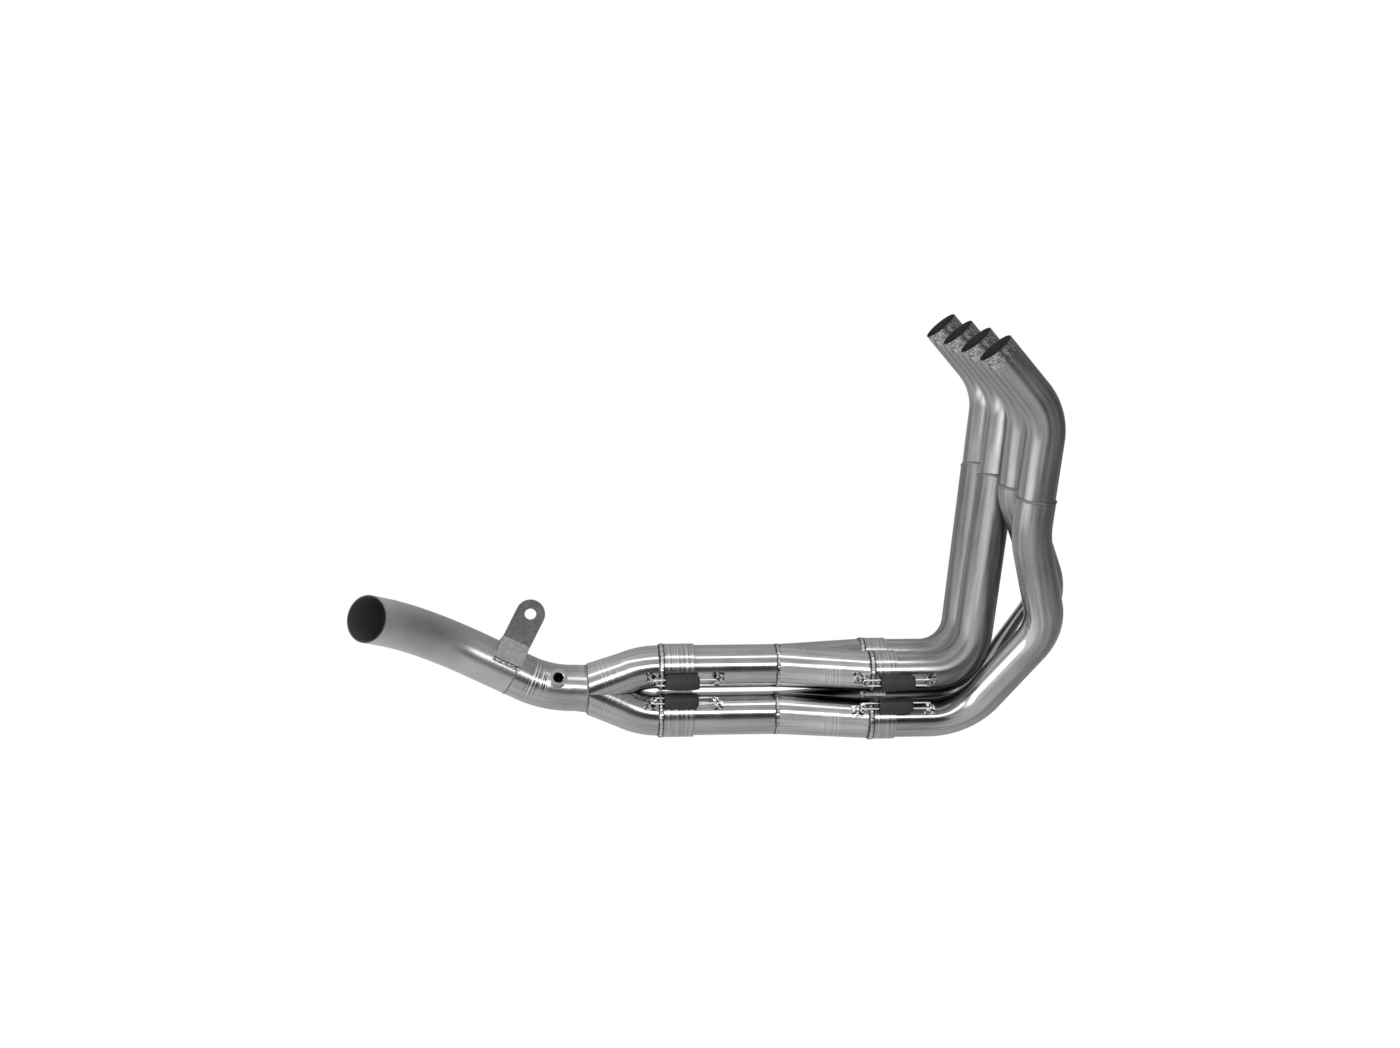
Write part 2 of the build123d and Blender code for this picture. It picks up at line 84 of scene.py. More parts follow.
@dataclass(frozen=True)
class Sizes:
    """The part's own dimensions, as its solids have them."""

    head_r: float = 19.0
    primary_r: float = 20.0
    secondary_r: float = 22.5
    link_r: float = 24.0
    wall: float = 1.2
    primary_sleeve_inner: float = 20.15
    primary_sleeve_outer: float = 21.5
    final_sleeve_inner: float = 22.65
    final_sleeve_outer: float = 24.1
    primary_sleeve_length: float = 25.5
    final_sleeve_length: float = 34.5
    end_gap: float = 1.5
    bead_width: float = 4.0
    bead_proud: float = 0.8
    final_outlet_x: float = -129.7
    final_collector_length: float = 76.5
    secondary_length: float = 121.0
    pair_collector_length: float = 94.5
    lower_z: float = 24.9
    run_spacing: float = 51.0
    branch_y: float = 27.5
    cylinder_pitch: float = 80.0
    head_setback: float = 95.5
    head_height: float = 423.0
    head_leg: tuple[float, float] = (57.0, 65.0)
    head_bend_radius: float = 60.0
    joint_height: float = 272.0
    upper_reach: float = 104.0
    upper_radius: float = 47.0
    lower_far_reach: float = 120.0
    lower_near_reach: float = 100.0
    lower_radius: float = 66.0
    knees_3: tuple = ((147.5, -30.0, 262.0), (195.5, -2.0, 149.4))
    knees_4: tuple = ((142.5, -108.0, 233.0), (173.0, -75.0, 132.4))
    knee_3_radius: float = 38.0
    knee_4_radius: float = 80.0
    low_knee_radius: float = 60.0
    pair_inlet_r: float = 20.75
    outlet_lift: float = 3.0
    merge_offset: float = 1.2
    branch_setback: float = 18.0
    branch_bend_radius: float = 80.0
    branch_taper_start: float = 20.0
    branch_outlet_r: float = 24.0
    flare_r: float = 24.8
    flare_length: float = 14.0
    flare_drop: float = 1.2
    link_run: float = 41.0
    link_bend_radius: float = 112.0
    link_rise: float = radians(26.1)
    link_joint_distance: float = 40.0
    tail_corner_distance: float = 147.0
    tail_bend_radius: float = 130.0
    tail_leg: float = 90.0
    tail_turn: float = radians(54.6)
    tail_rise: float = radians(17.5)
    bung_distance: float = 33.5
    bung_tilt: float = radians(33)
    bung_cut: float = 7.0
    cover_inner: float = 6.5
    cover_outer: float = 8.2
    cover_length: float = 35.0
    cover_stand_off: float = 0.6
    primary_spring: float = 23.5
    final_spring: float = 20.0
    primary_angles: tuple[float, float] = (radians(-10), radians(40))
    final_angles: tuple[float, float] = (radians(-16), radians(40))

    @property
    def final_inlet_x(self) -> float:
        """Where the final collector's tubes start."""
        return self.final_outlet_x + self.final_collector_length

    @property
    def secondary_end_x(self) -> float:
        """Rear end of the secondary pipes, inside their sleeves."""
        return self.final_inlet_x + self.end_gap

    @property
    def pair_outlet_x(self) -> float:
        """Where the secondary pipes leave the pair collectors."""
        return self.secondary_end_x + self.secondary_length

    @property
    def pair_inlet_x(self) -> float:
        """Where the pair collectors' cones start."""
        return self.pair_outlet_x + self.pair_collector_length

    @property
    def upper_z(self) -> float:
        """Height of the upper run."""
        return self.lower_z + self.run_spacing

    @property
    def outlet(self) -> np.ndarray:
        """Centre of the final collector's outlet."""
        middle = (self.lower_z + self.upper_z) / 2
        return vec(self.final_outlet_x, 0.0, middle + self.outlet_lift)

    def run(self, cylinder: int) -> tuple[float, float]:
        """Side position and height of the run that a cylinder's pipe ends in."""
        side = self.branch_y if cylinder in (1, 3) else -self.branch_y
        return side, self.upper_z if cylinder < 3 else self.lower_z


S = Sizes()


class Route:
    """Straight runs joined by tangent arcs, sampled with exact tangents.

    An arc starts its radius times the tangent of half its angle before its corner, and swings
    from one run's direction to the next.
    """

    def __init__(self, corners: Sequence, radii: Sequence[float] = (), step: float = 6.0,
                 turn: float = radians(2.5)) -> None:
        """Samples the route.

        Args:
            corners: Points of the route, from its start to its end.
            radii: Arc radius at each inner corner.
            step: Longest straight piece between samples.
            turn: Largest angle between samples on an arc.
        """
        points = [np.asarray(corner, float) for corner in corners]
        self.points: list[np.ndarray] = []
        self.tangents: list[np.ndarray] = []
        here = points[0]
        for corner, after, radius in zip(points[1:-1], points[2:], radii, strict=True):
            along, leave = unit(corner - here), unit(after - corner)
            angle = acos(np.clip(along @ leave, -1, 1))
            reach = radius * tan(angle / 2)
            start = corner - along * reach
            self._straight(here, start, step)
            inward = unit(leave - along * (along @ leave))
            for share in np.linspace(0, 1, max(3, ceil(angle / turn)))[1:-1]:
                swing = share * angle
                self._add(start + radius * (along * sin(swing) + inward * (1 - cos(swing))),
                          along * cos(swing) + inward * sin(swing))
            here = corner + leave * reach
        self._straight(here, points[-1], step)

    def _add(self, point: np.ndarray, tangent: np.ndarray) -> None:
        """Adds one sample."""
        self.points.append(point)
        self.tangents.append(tangent)

    def _straight(self, start: np.ndarray, end: np.ndarray, step: float) -> None:
        """Adds samples on a straight run.

        Args:
            start: Where the run starts.
            end: Where it ends.
            step: Longest piece between samples.
        """
        span = np.linalg.norm(end - start)
        tangent = unit(end - start)
        for share in np.linspace(0, 1, max(2, ceil(span / step) + 1)):
            self._add(start + (end - start) * share, tangent)

    def frames(self) -> tuple[np.ndarray, np.ndarray, np.ndarray, np.ndarray]:
        """Carries a side vector along the route, turned no more than the route turns.

        Returns:
            Points, two side vectors at each point, and the distance along the route.
        """
        points, tangents = np.array(self.points), np.array(self.tangents)
        side = Y_AXIS - tangents[0] * tangents[0][1]
        sides = []
        for tangent in tangents:
            side = unit(side - tangent * (side @ tangent))
            sides.append(side)
        sides = np.array(sides)
        spans = np.linalg.norm(np.diff(points, axis=0), axis=1)
        return points, sides, np.cross(tangents, sides), np.concatenate(([0.0], np.cumsum(spans)))


class Surface:
    """Faces collected from grids of points, with a UV for each face corner."""

    def __init__(self) -> None:
        """Starts with no faces."""
        self.points: list[np.ndarray] = []
        self.faces: list[np.ndarray] = []
        self.uvs: list[np.ndarray] = []
        self.slots: list[np.ndarray] = []
        self.count = 0

    def grid(self, points: np.ndarray, along: np.ndarray, around: np.ndarray | None = None,
             closed: bool = True, flip: bool = False, slot: int = 0) -> "Surface":
        """Adds a grid whose rows follow each other along a piece.

        Args:
            points: Rows by columns by three.
            along: Second UV coordinate of each row, in millimetres.
            around: First UV coordinate of each column, from 0 to 1; even if left out.
            closed: Whether the last column joins the first.
            flip: Whether the faces look the other way.
            slot: Material index of the faces.

        Returns:
            This surface, so that calls can be chained.
        """
        rows, columns = points.shape[:2]
        spans = columns if closed else columns - 1
        if around is None:
            around = np.linspace(0, 1, spans + 1)
        row, column = np.meshgrid(np.arange(rows - 1), np.arange(spans), indexing="ij")
        row, column = row.ravel(), column.ravel()
        follow = (column + 1) % columns
        quad = np.stack([row * columns + column, row * columns + follow,
                         (row + 1) * columns + follow, (row + 1) * columns + column], 1)
        along = np.broadcast_to(np.asarray(along, float), (rows,))
        u = np.stack([around[column], around[column + 1], around[column + 1], around[column]], 1)
        v = np.stack([along[row], along[row], along[row + 1], along[row + 1]], 1)
        uv = np.stack([u, v * MM], 2)
        if flip:
            quad, uv = quad[:, ::-1], uv[:, ::-1]
        self.points.append(points.reshape(-1, 3))
        self.faces.append(quad + self.count)
        self.uvs.append(uv.reshape(-1, 2))
        self.slots.append(np.full(len(quad), slot))
        self.count += rows * columns
        return self

    def drill(self, origin: np.ndarray, axis: np.ndarray, radius: float) -> "Surface":
        """Leaves out the faces whose middle is nearer than a radius to a ray.

        Args:
            origin: Where the ray starts.
            axis: Its direction, of length one.
            radius: Radius of the hole.

        Returns:
            This surface.
        """
        points = np.concatenate(self.points)
        for index, faces in enumerate(self.faces):
            middle = points[faces].mean(1) - origin
            ahead = middle @ axis
            off = np.linalg.norm(middle - ahead[:, None] * axis, axis=1)
            keep = (ahead < 0) | (off > radius)
            self.faces[index], self.uvs[index] = faces[keep], self._kept(self.uvs[index], keep)
            self.slots[index] = self.slots[index][keep]
        return self

    @staticmethod
    def _kept(uvs: np.ndarray, keep: np.ndarray) -> np.ndarray:
        """The UVs of the faces that stay."""
        return uvs.reshape(-1, 4, 2)[keep].reshape(-1, 2)

    def mesh(self, name: str, sharp: float = radians(38)) -> bpy.types.Mesh:
        """Makes a mesh in metres of the collected faces.

        Args:
            name: Name of the mesh.
            sharp: Angle between faces above which their edge is sharp.

        Returns:
            The mesh, smooth elsewhere.
        """
        points = np.concatenate(self.points) * MM
        faces = np.concatenate(self.faces)
        mesh = bpy.data.meshes.new(name)
        mesh.vertices.add(len(points))
        mesh.vertices.foreach_set("co", points.ravel())
        mesh.loops.add(faces.size)
        mesh.loops.foreach_set("vertex_index", faces.ravel().astype(np.int32))
        mesh.polygons.add(len(faces))
        mesh.polygons.foreach_set("loop_start", np.arange(0, faces.size, 4, dtype=np.int32))
        mesh.polygons.foreach_set("material_index", np.concatenate(self.slots).astype(np.int32))
        layer = mesh.uv_layers.new(name="surface")
        layer.data.foreach_set("uv", np.concatenate(self.uvs).ravel())
        mesh.update(calc_edges=True)
        mesh.polygons.foreach_set("use_smooth", np.ones(len(mesh.polygons), bool))
        mesh.set_sharp_from_angle(angle=sharp)
        mesh.validate()
        return mesh


def rings(route: Route, radius: np.ndarray | float, segments: int = 96) -> tuple:
    """Circles of points along a route: centre plus radius times a turning side vector.

    Args:
        route: The centre line.
        radius: One radius, or one for each sample.
        segments: Points round a circle.

    Returns:
        Rows of points and their distances along the route.
    """
    points, side, other, along = route.frames()
    radius = np.broadcast_to(np.asarray(radius, float), (len(points),))[:, None, None]
    angle = circle(segments)[None, :, None]
    radial = side[:, None] * np.cos(angle) + other[:, None] * np.sin(angle)
    return points[:, None] + radius * radial, along


class Metal(Enum):
    """Finishes of the bare metal and of the rubber."""

    HEAD = "head"
    RISER = "riser"
    KNEE = "knee"
    TUBE = "tube"
    COLLECTOR = "collector"
    PAIR_UPPER = "pair_upper"
    PAIR_LOWER = "pair_lower"
    SLEEVE = "sleeve"
    LINK = "link"
    TAIL = "tail"
    WELD = "weld"
    LINE = "line"
    SEAM = "seam"
    BRACKET = "bracket"
    BUNG = "bung"
    LUG = "lug"
    WIRE = "wire"
    RUBBER = "rubber"
    SOOT = "soot"
    CARBON = "carbon"


@dataclass(frozen=True)
class Finish:
    """How a surface looks.

    Attributes:
        tone: Grey level of the metal, in linear light.
        roughness: Roughness between its marks.
        metallic: One for bare metal.
        lengthwise: Depth of the drawn marks along a tube.
        crosswise: Depth of the marks round a tube.
        cloud: How much the roughness drifts from place to place.
        pitted: Depth of the lumps of a hand-laid weld or of a worn plate.
        broad: Strength of the wide light and dark bands along a tube.
        edged: How dark a weld's two edges are.
        scaly: Strength of the flaky marks at a tube's open end.
        patchy: Whether the marks round the tube come and go along it.
        dull_from: Distance along the tube, in metres, where it turns matt; none if negative.
        dull_to: Distance where it is wholly matt.
        dull_gain: Roughness that the matt stretch adds.
        dull_tone: What the matt stretch multiplies the tone by.
        shaded_side: Side of a run given painted shade where the other run would shade it; 1 or -1,
            0 for none.
        shade_span: Distances along the run between which that painted shade comes up, in metres.
        unrolled: Whether the piece has tube coordinates in its UV map.
    """

    tone: float
    roughness: float
    metallic: float = 1.0
    lengthwise: float = 0.0
    crosswise: float = 0.0
    cloud: float = 0.06
    pitted: float = 0.0
    broad: float = 0.0
    edged: float = 0.0
    scaly: float = 0.0
    patchy: bool = False
    dull_from: float = -1.0
    dull_to: float = 0.0
    dull_gain: float = 0.30
    dull_tone: float = 1.0
    # Painted shade: which side of a run is darkened towards the other run, and over what distance.
    shaded_side: float = 0.0
    shade_span: tuple[float, float] = (0.235, 0.30)
    unrolled: bool = True


FINISHES = {
    Metal.HEAD: Finish(tone=0.36, roughness=0.32, lengthwise=0.6, broad=0.9, cloud=0.10,
                       scaly=1.0),
    # Risers, knees and both pair collectors carry painted shade on the side facing the other run;
    # the two pair finishes differ only in that side.
    Metal.RISER: Finish(tone=0.54, roughness=0.18, lengthwise=0.6, broad=0.9, dull_from=0.27,
                        dull_to=0.20, dull_gain=0.22, dull_tone=0.50, shaded_side=1.0),
    Metal.KNEE: Finish(tone=0.56, roughness=0.16, lengthwise=0.5, broad=0.8, dull_from=0.14,
                       dull_to=0.05, dull_gain=0.16, dull_tone=0.64, shaded_side=-1.0),
    Metal.TUBE: Finish(tone=0.62, roughness=0.16, lengthwise=0.4, broad=0.4),
    Metal.COLLECTOR: Finish(tone=0.62, roughness=0.17, lengthwise=0.35, broad=0.5, crosswise=0.6,
                            patchy=True),
    Metal.PAIR_UPPER: Finish(tone=0.62, roughness=0.17, lengthwise=0.35, broad=0.5, crosswise=0.6,
                             patchy=True, shaded_side=-1.0, shade_span=(0.005, 0.05)),
    Metal.PAIR_LOWER: Finish(tone=0.62, roughness=0.17, lengthwise=0.35, broad=0.5, crosswise=0.6,
                             patchy=True, shaded_side=1.0, shade_span=(0.005, 0.05)),
    Metal.SLEEVE: Finish(tone=0.62, roughness=0.22, crosswise=0.9),
    Metal.LINK: Finish(tone=0.58, roughness=0.25, lengthwise=0.3, broad=0.4, crosswise=2.6,
                       patchy=True),
    Metal.TAIL: Finish(tone=0.66, roughness=0.28, lengthwise=0.15, cloud=0.03, dull_from=0.10,
                       dull_to=0.20, dull_gain=0.26, dull_tone=1.36),
    Metal.WELD: Finish(tone=0.62, roughness=0.20, lengthwise=1.6, broad=1.5, cloud=0.14,
                       edged=0.85),
    Metal.LINE: Finish(tone=0.24, roughness=0.34, cloud=0.10, edged=0.3),
    Metal.SEAM: Finish(tone=0.54, roughness=0.24, cloud=0.14, pitted=1.0, unrolled=False),
    Metal.BRACKET: Finish(tone=0.33, roughness=0.34, cloud=0.12, pitted=0.22, unrolled=False),
    Metal.BUNG: Finish(tone=0.60, roughness=0.22, unrolled=False),
    Metal.LUG: Finish(tone=0.42, roughness=0.22, cloud=0.14, pitted=1.9, unrolled=False),
    Metal.WIRE: Finish(tone=0.94, roughness=0.16, unrolled=False),
    Metal.RUBBER: Finish(tone=0.035, roughness=0.60, metallic=0.0, cloud=0.08),
    Metal.SOOT: Finish(tone=0.11, roughness=0.85, metallic=0.0, cloud=0.10),
    Metal.CARBON: Finish(tone=0.03, roughness=0.80, metallic=0.0, cloud=0.10),
}


class Wire:
    """An output of a shader node, with arithmetic that adds maths nodes."""

    def __init__(self, graph: "Graph", socket: bpy.types.NodeSocket) -> None:
        """Holds an output and the tree that it belongs to."""
        self.graph = graph
        self.socket = socket

    def _with(self, operation: str, *others: "Wire | float", front: bool = False) -> "Wire":
        """Adds a maths node, with this wire after the other values if front is set."""
        values = (*others, self) if front else (self, *others)
        return self.graph.node("ShaderNodeMath", *values, operation=operation)

    def __add__(self, other: "Wire | float") -> "Wire":
        """Sum."""
        return self._with("ADD", other)

    __radd__ = __add__

    def __sub__(self, other: "Wire | float") -> "Wire":
        """Difference."""
        return self._with("SUBTRACT", other)

    def __rsub__(self, other: "Wire | float") -> "Wire":
        """The other value less this one."""
        return self._with("SUBTRACT", other, front=True)

    def __mul__(self, other: "Wire | float") -> "Wire":
        """Product."""
        return self._with("MULTIPLY", other)

    __rmul__ = __mul__

    def __truediv__(self, other: "Wire | float") -> "Wire":
        """Quotient."""
        return self._with("DIVIDE", other)

    def __rtruediv__(self, other: "Wire | float") -> "Wire":
        """Quotient of the other value by this one."""
        return self._with("DIVIDE", other, front=True)

    def cos(self) -> "Wire":
        """Cosine of the value in radians."""
        return self._with("COSINE")

    def sin(self) -> "Wire":
        """Sine of the value in radians."""
        return self._with("SINE")

    def clamp(self) -> "Wire":
        """The value held between 0 and 1."""
        return self.graph.node("ShaderNodeClamp", self)

    def smooth(self, low: float, high: float) -> "Wire":
        """A soft step from 0 at low to 1 at high."""
        return self.graph.node("ShaderNodeMapRange", self, low, high, 0.0, 1.0,
                               interpolation_type="SMOOTHSTEP")


class Graph:
    """The node tree of one material or of the world."""

    def __init__(self, tree: bpy.types.NodeTree) -> None:
        """Takes over a tree and empties it."""
        self.tree = tree
        tree.nodes.clear()

    def node(self, kind: str, *values: "Wire | float | tuple", output: int | str = 0,
             **settings: object) -> Wire:
        """Makes a node, sets or links its inputs in order, and gives one of its outputs.

        Args:
            kind: Type name of the node.
            values: Values or wires for the inputs, from the first on; None leaves one alone.
            output: Index or name of the output to return.
            settings: Properties of the node; a dictionary named inputs sets inputs by name.

        Returns:
            The chosen output, or the first.
        """
        node = self.tree.nodes.new(kind)
        inputs = settings.pop("inputs", {})
        for name, value in settings.items():
            setattr(node, name, value)
        pairs = [*zip(node.inputs, values), *((node.inputs[name], v) for name, v in inputs.items())]
        for socket, value in pairs:
            if isinstance(value, Wire):
                self.tree.links.new(value.socket, socket)
            elif value is not None:
                socket.default_value = value
        return Wire(self, node.outputs[output]) if len(node.outputs) else None

    def split(self, vector: Wire) -> tuple[Wire, Wire, Wire]:
        """The three parts of a vector."""
        node = self.tree.nodes.new("ShaderNodeSeparateXYZ")
        self.tree.links.new(vector.socket, node.inputs[0])
        return tuple(Wire(self, socket) for socket in node.outputs)

    def join(self, x: "Wire | float", y: "Wire | float", z: "Wire | float") -> Wire:
        """A vector from three values."""
        return self.node("ShaderNodeCombineXYZ", x, y, z)

    def noise(self, place: Wire, scale: float, detail: float = 2.0) -> Wire:
        """Smooth noise about 0.5."""
        return self.node("ShaderNodeTexNoise", place, inputs={"Scale": scale, "Detail": detail})


@dataclass(frozen=True)
class Pattern:
    """Noise stretched over a surface.

    Attributes:
        scale: Cycles to a unit of its place.
        detail: Finer layers of noise.
        spread: What the two coordinates across a tube are multiplied by.
        run: What the coordinate along it is multiplied by.
        step: Values between which the noise is sharpened to a soft step; none if left out.
    """

    scale: float
    detail: float
    spread: float = 1.0
    run: float = 1.0
    step: tuple[float, float] | None = None


class Dresser:
    """Turns a finish into shader values, one kind of mark after another.

    Every mark is noise less its middle value, times the finish's depth, on top of what the marks
    before it left. Tone is multiplied, roughness and height are added to.
    """

    UNROLLED_SPREAD = 0.02
    DRIFT = Pattern(38.0, 3.0)
    GRAIN = Pattern(420.0, 2.0)
    DRAWN = Pattern(22.0, 4.0, run=1.5)
    FINE = Pattern(75.0, 2.0, run=0.6)
    BAND = Pattern(4.2, 2.0, run=2.0, step=(0.34, 0.66))
    FLAKES = Pattern(430.0, 1.0, spread=0.019, step=(0.42, 0.58))
    TURNED = Pattern(1.0, 2.0, spread=0.12, run=520.0, step=(0.38, 0.62))
    PATCH = Pattern(1.6, 1.0, spread=0.35, run=22.0, step=(0.50, 0.62))
    LUMPS = Pattern(330.0, 1.0)
    LUMP_STEP = (0.38, 0.62)
    DRIFT_TONE = (0.86, 0.28)
    GRAIN_HEIGHT = 0.12
    DRAWN_ROUGH, DRAWN_TONE, FINE_HEIGHT = 0.16, 0.5, 0.6
    BAND_ROUGH, BAND_TONE = 0.05, 0.55
    FLAKE_REACH = (0.008, 0.022)
    FLAKE_MIDDLE = 0.35
    EDGE = (0.9e-6, 4.5e-6)
    RIB_ROUGH, RIB_TONE, RIB_HEIGHT = 0.12, 0.5, 0.8
    LUMP_HEIGHT = 9.0
    # Side limits and depth of the painted shade on the side of a run that faces the other run.
    SHADE_SIDE = (0.55, 0.95)
    SHADE_DEPTH = 0.85
    WARMTH = 0.985
    BUMP = {"Strength": 0.35, "Distance": 0.00006}

    def __init__(self, graph: Graph, finish: Finish) -> None:
        """Finds the coordinates and the plain metal's values."""
        self.graph = graph
        self.finish = finish
        self.x, self.y, self.z = self._place()
        spread = self.UNROLLED_SPREAD if finish.unrolled else 1.0
        drift = self._noise(self.DRIFT, spread)
        low, gain = self.DRIFT_TONE
        self.rough = finish.roughness + (drift - 0.5) * finish.cloud * 2.0
        self.tone = finish.tone * (low + gain * drift)
        self.height = self._noise(self.GRAIN, spread) * self.GRAIN_HEIGHT

    def _place(self) -> tuple[Wire, Wire, Wire]:
        """Coordinates that run round a tube without a seam, or the object's own.

        Returns:
            Cosine and sine of the turn with the metres along the tube, or X, Y and Z.
        """
        if self.finish.unrolled:
            u, v, _ = self.graph.split(self.graph.node("ShaderNodeUVMap", uv_map="surface"))
            turn = u * (2 * pi)
            return turn.cos(), turn.sin(), v
        return self.graph.split(self.graph.node("ShaderNodeTexCoord", output="Object"))

    def _noise(self, pattern: Pattern, spread: float | None = None) -> Wire:
        """Lays a pattern over the surface.

        Args:
            pattern: The pattern.
            spread: Its spread, if not its own.

        Returns:
            The noise, from 0 to 1.
        """
        across = pattern.spread if spread is None else spread
        place = self.graph.join(self.x * across, self.y * across, self.z * pattern.run)
        noise = self.graph.noise(place, pattern.scale, pattern.detail)
        return noise.smooth(*pattern.step) if pattern.step else noise

    def _shade(self, mark: Wire, depth: float) -> None:
        """Multiplies the tone by one plus the mark times its depth."""
        self.tone = self.tone * (1.0 + mark * depth)

    def _drawn(self) -> None:
        """Fine marks along a tube, from drawing and brushing."""
        depth = self.finish.lengthwise
        drawn, fine = self._noise(self.DRAWN), self._noise(self.FINE)
        self.rough = self.rough + (drawn - 0.5) * self.DRAWN_ROUGH * depth
        self._shade(drawn - 0.5, self.DRAWN_TONE * depth)
        self.height = self.height + (fine * self.FINE_HEIGHT + drawn) * depth

    def _banded(self) -> None:
        """Wide light and dark bands along a tube."""
        band = self._noise(self.BAND) - 0.5
        self._shade(band, self.BAND_TONE * self.finish.broad)
        self.rough = self.rough + band * self.BAND_ROUGH * self.finish.broad

    def _flaked(self) -> None:
        """Scale at a tube's open end, which fades away from the end."""
        flakes = self._noise(self.FLAKES) - self.FLAKE_MIDDLE
        self._shade(flakes * (1.0 - self.z.smooth(*self.FLAKE_REACH)), self.finish.scaly)

    def _edged(self) -> None:
        """Dark edges of a weld, by the square of the distance from its middle."""
        self._shade((self.z * self.z).smooth(*self.EDGE), -self.finish.edged)

    def _turned(self) -> None:
        """Marks round a tube, all along it or in patches."""
        depth = self.finish.crosswise
        ribs = self._noise(self.TURNED)
        if self.finish.patchy:
            ribs = (ribs - 0.5) * self._noise(self.PATCH) + 0.5
        self.rough = self.rough + (ribs - 0.5) * self.RIB_ROUGH * depth
        self._shade(ribs - 0.5, self.RIB_TONE * depth)
        self.height = self.height + ribs * self.RIB_HEIGHT * depth

    def _pitted(self) -> None:
        """Lumps of a hand-laid weld or of a worn plate."""
        lumps = self._noise(self.LUMPS)
        self.height = self.height + lumps * self.finish.pitted * self.LUMP_HEIGHT
        self._shade(lumps.smooth(*self.LUMP_STEP) - 0.5, self.finish.pitted)

    def _dulled(self) -> None:
        """A matt stretch, which comes up between two distances along the tube."""
        dull = self.z.smooth(self.finish.dull_from, self.finish.dull_to)
        self.rough = self.rough + dull * self.finish.dull_gain
        self._shade(dull, self.finish.dull_tone - 1.0)

    def _painted_shade(self) -> None:
        """Painted shade on the side of a run that faces the other run, darkening the tone where
        that run would shade it.
        """
        side = (self.y * self.finish.shaded_side).smooth(*self.SHADE_SIDE)
        # Painted shade: the tone darkens on the side that faces the other run, between two
        # distances along it.
        self._shade(side * self.z.smooth(*self.finish.shade_span), -self.SHADE_DEPTH)

    def finished(self) -> None:
        """Adds the marks that the finish has and ends the tree in a shader."""
        finish, graph = self.finish, self.graph
        marks = ((finish.lengthwise, self._drawn), (finish.broad, self._banded),
                 (finish.scaly, self._flaked), (finish.edged, self._edged),
                 (finish.crosswise, self._turned), (finish.pitted, self._pitted),
                 (finish.dull_from >= 0, self._dulled), (finish.shaded_side, self._painted_shade))
        for wanted, mark in marks:
            if wanted:
                mark()
        bump = graph.node("ShaderNodeBump", inputs={"Height": self.height, **self.BUMP},
                          output="Normal")
        colour = graph.join(self.tone, self.tone, self.tone * self.WARMTH)
        shader = graph.node("ShaderNodeBsdfPrincipled", inputs={
            "Base Color": colour, "Roughness": self.rough.clamp(), "Metallic": finish.metallic,
            "Normal": bump})
        graph.node("ShaderNodeOutputMaterial", shader)


class Palette:
    """Materials, each made once from its finish."""

    def __init__(self) -> None:
        """Starts with no materials."""
        self.made: dict[Metal, bpy.types.Material] = {}

    def __getitem__(self, metal: Metal) -> bpy.types.Material:
        """The material of a metal, made when it is first asked for."""
        if metal not in self.made:
            material = bpy.data.materials.new(metal.value)
            material.use_nodes = True
            Dresser(Graph(material.node_tree), FINISHES[metal]).finished()
            self.made[metal] = material
        return self.made[metal]


@dataclass
class Builder:
    """Makes the scene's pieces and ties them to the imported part."""

    palette: Palette = field(default_factory=Palette)
    soft_edge: float = 0.35
    sleeve_segments: int = 96

    def piece(self, name: str, mesh: bpy.types.Mesh, metals: Sequence[Metal], slot: str,
              nodes: Iterable[str]) -> bpy.types.Object:
        """Adds a piece that stands for CAD nodes.

        Args:
            name: Name of the piece.
            mesh: Its mesh, in metres.
            metals: Finish of each of its material indices.
            slot: Slot of the record that its finish comes from; not used.
            nodes: The nodes that it replaces.

        Returns:
            The new object.
        """
        for metal in metals:
            mesh.materials.append(self.palette[metal])
        piece = bpy.data.objects.new(name, mesh)
        bpy.context.scene.collection.objects.link(piece)
        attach(piece, BODY)
        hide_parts(*nodes)
        LOG.info("%s stands for %s", name, ", ".join(nodes))
        return piece

    def dress(self, node: bpy.types.Object, metal: Metal) -> None:
        """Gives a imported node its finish."""
        node.data.materials.clear()
        node.data.materials.append(self.palette[metal])

    def tube(self, node: str, route: Route, radius: float, metal: Metal,
             inside: Metal = Metal.SOOT) -> None:
        """A tube with its wall, open at both ends and sooty inside.

        Args:
            node: The node that it stands for.
            route: Its centre line.
            radius: Its outer radius.
            metal: Finish of its outside.
            inside: Finish of its inside and of its two ends.
        """
        outer, along = rings(route, radius)
        inner, _ = rings(route, radius - S.wall)
        surface = Surface().grid(outer, along, flip=True)
        surface.grid(inner, along, slot=1)
        for row, flip in ((0, False), (-1, True)):
            surface.grid(np.stack([outer[row], inner[row]]), np.full(2, along[row]), flip=flip,
                         slot=1)
        self.piece(f"{node}_skin", surface.mesh(node), (metal, inside), "pipe_steel", [node])

    def sleeve(self, node: str, start: np.ndarray, length: float, inner: float,
               outer: float) -> None:
        """A short straight collar with softened ends: a profile turned round the X axis.

        Args:
            node: The node that it stands for.
            start: Centre of its rear end.
            length: Its length.
            inner: Its bore's radius.
            outer: Its outer radius.
        """
        soft = self.soft_edge
        stations = ((0, inner), (0, outer - soft), (soft, outer), (length - soft, outer),
                    (length, outer - soft), (length, inner), (0, inner))
        along, radius = np.array(stations, float).T
        angle = circle(self.sleeve_segments)[None, :]
        radius = radius[:, None]
        points = np.stack(np.broadcast_arrays(
            start[0] + along[:, None], start[1] + radius * np.cos(angle),
            start[2] + radius * np.sin(angle)), 2)
        surface = Surface().grid(points, along)
        self.piece(f"{node}_skin", surface.mesh(node), (Metal.SLEEVE,), "sleeve_steel", [node])


class WeldStyle(Enum):
    """How far apart a weld's ripples lie, in millimetres, and how uneven they are, up to 1."""

    NEAT = (2.1, 0.25)
    ROUGH = (3.4, 0.8)


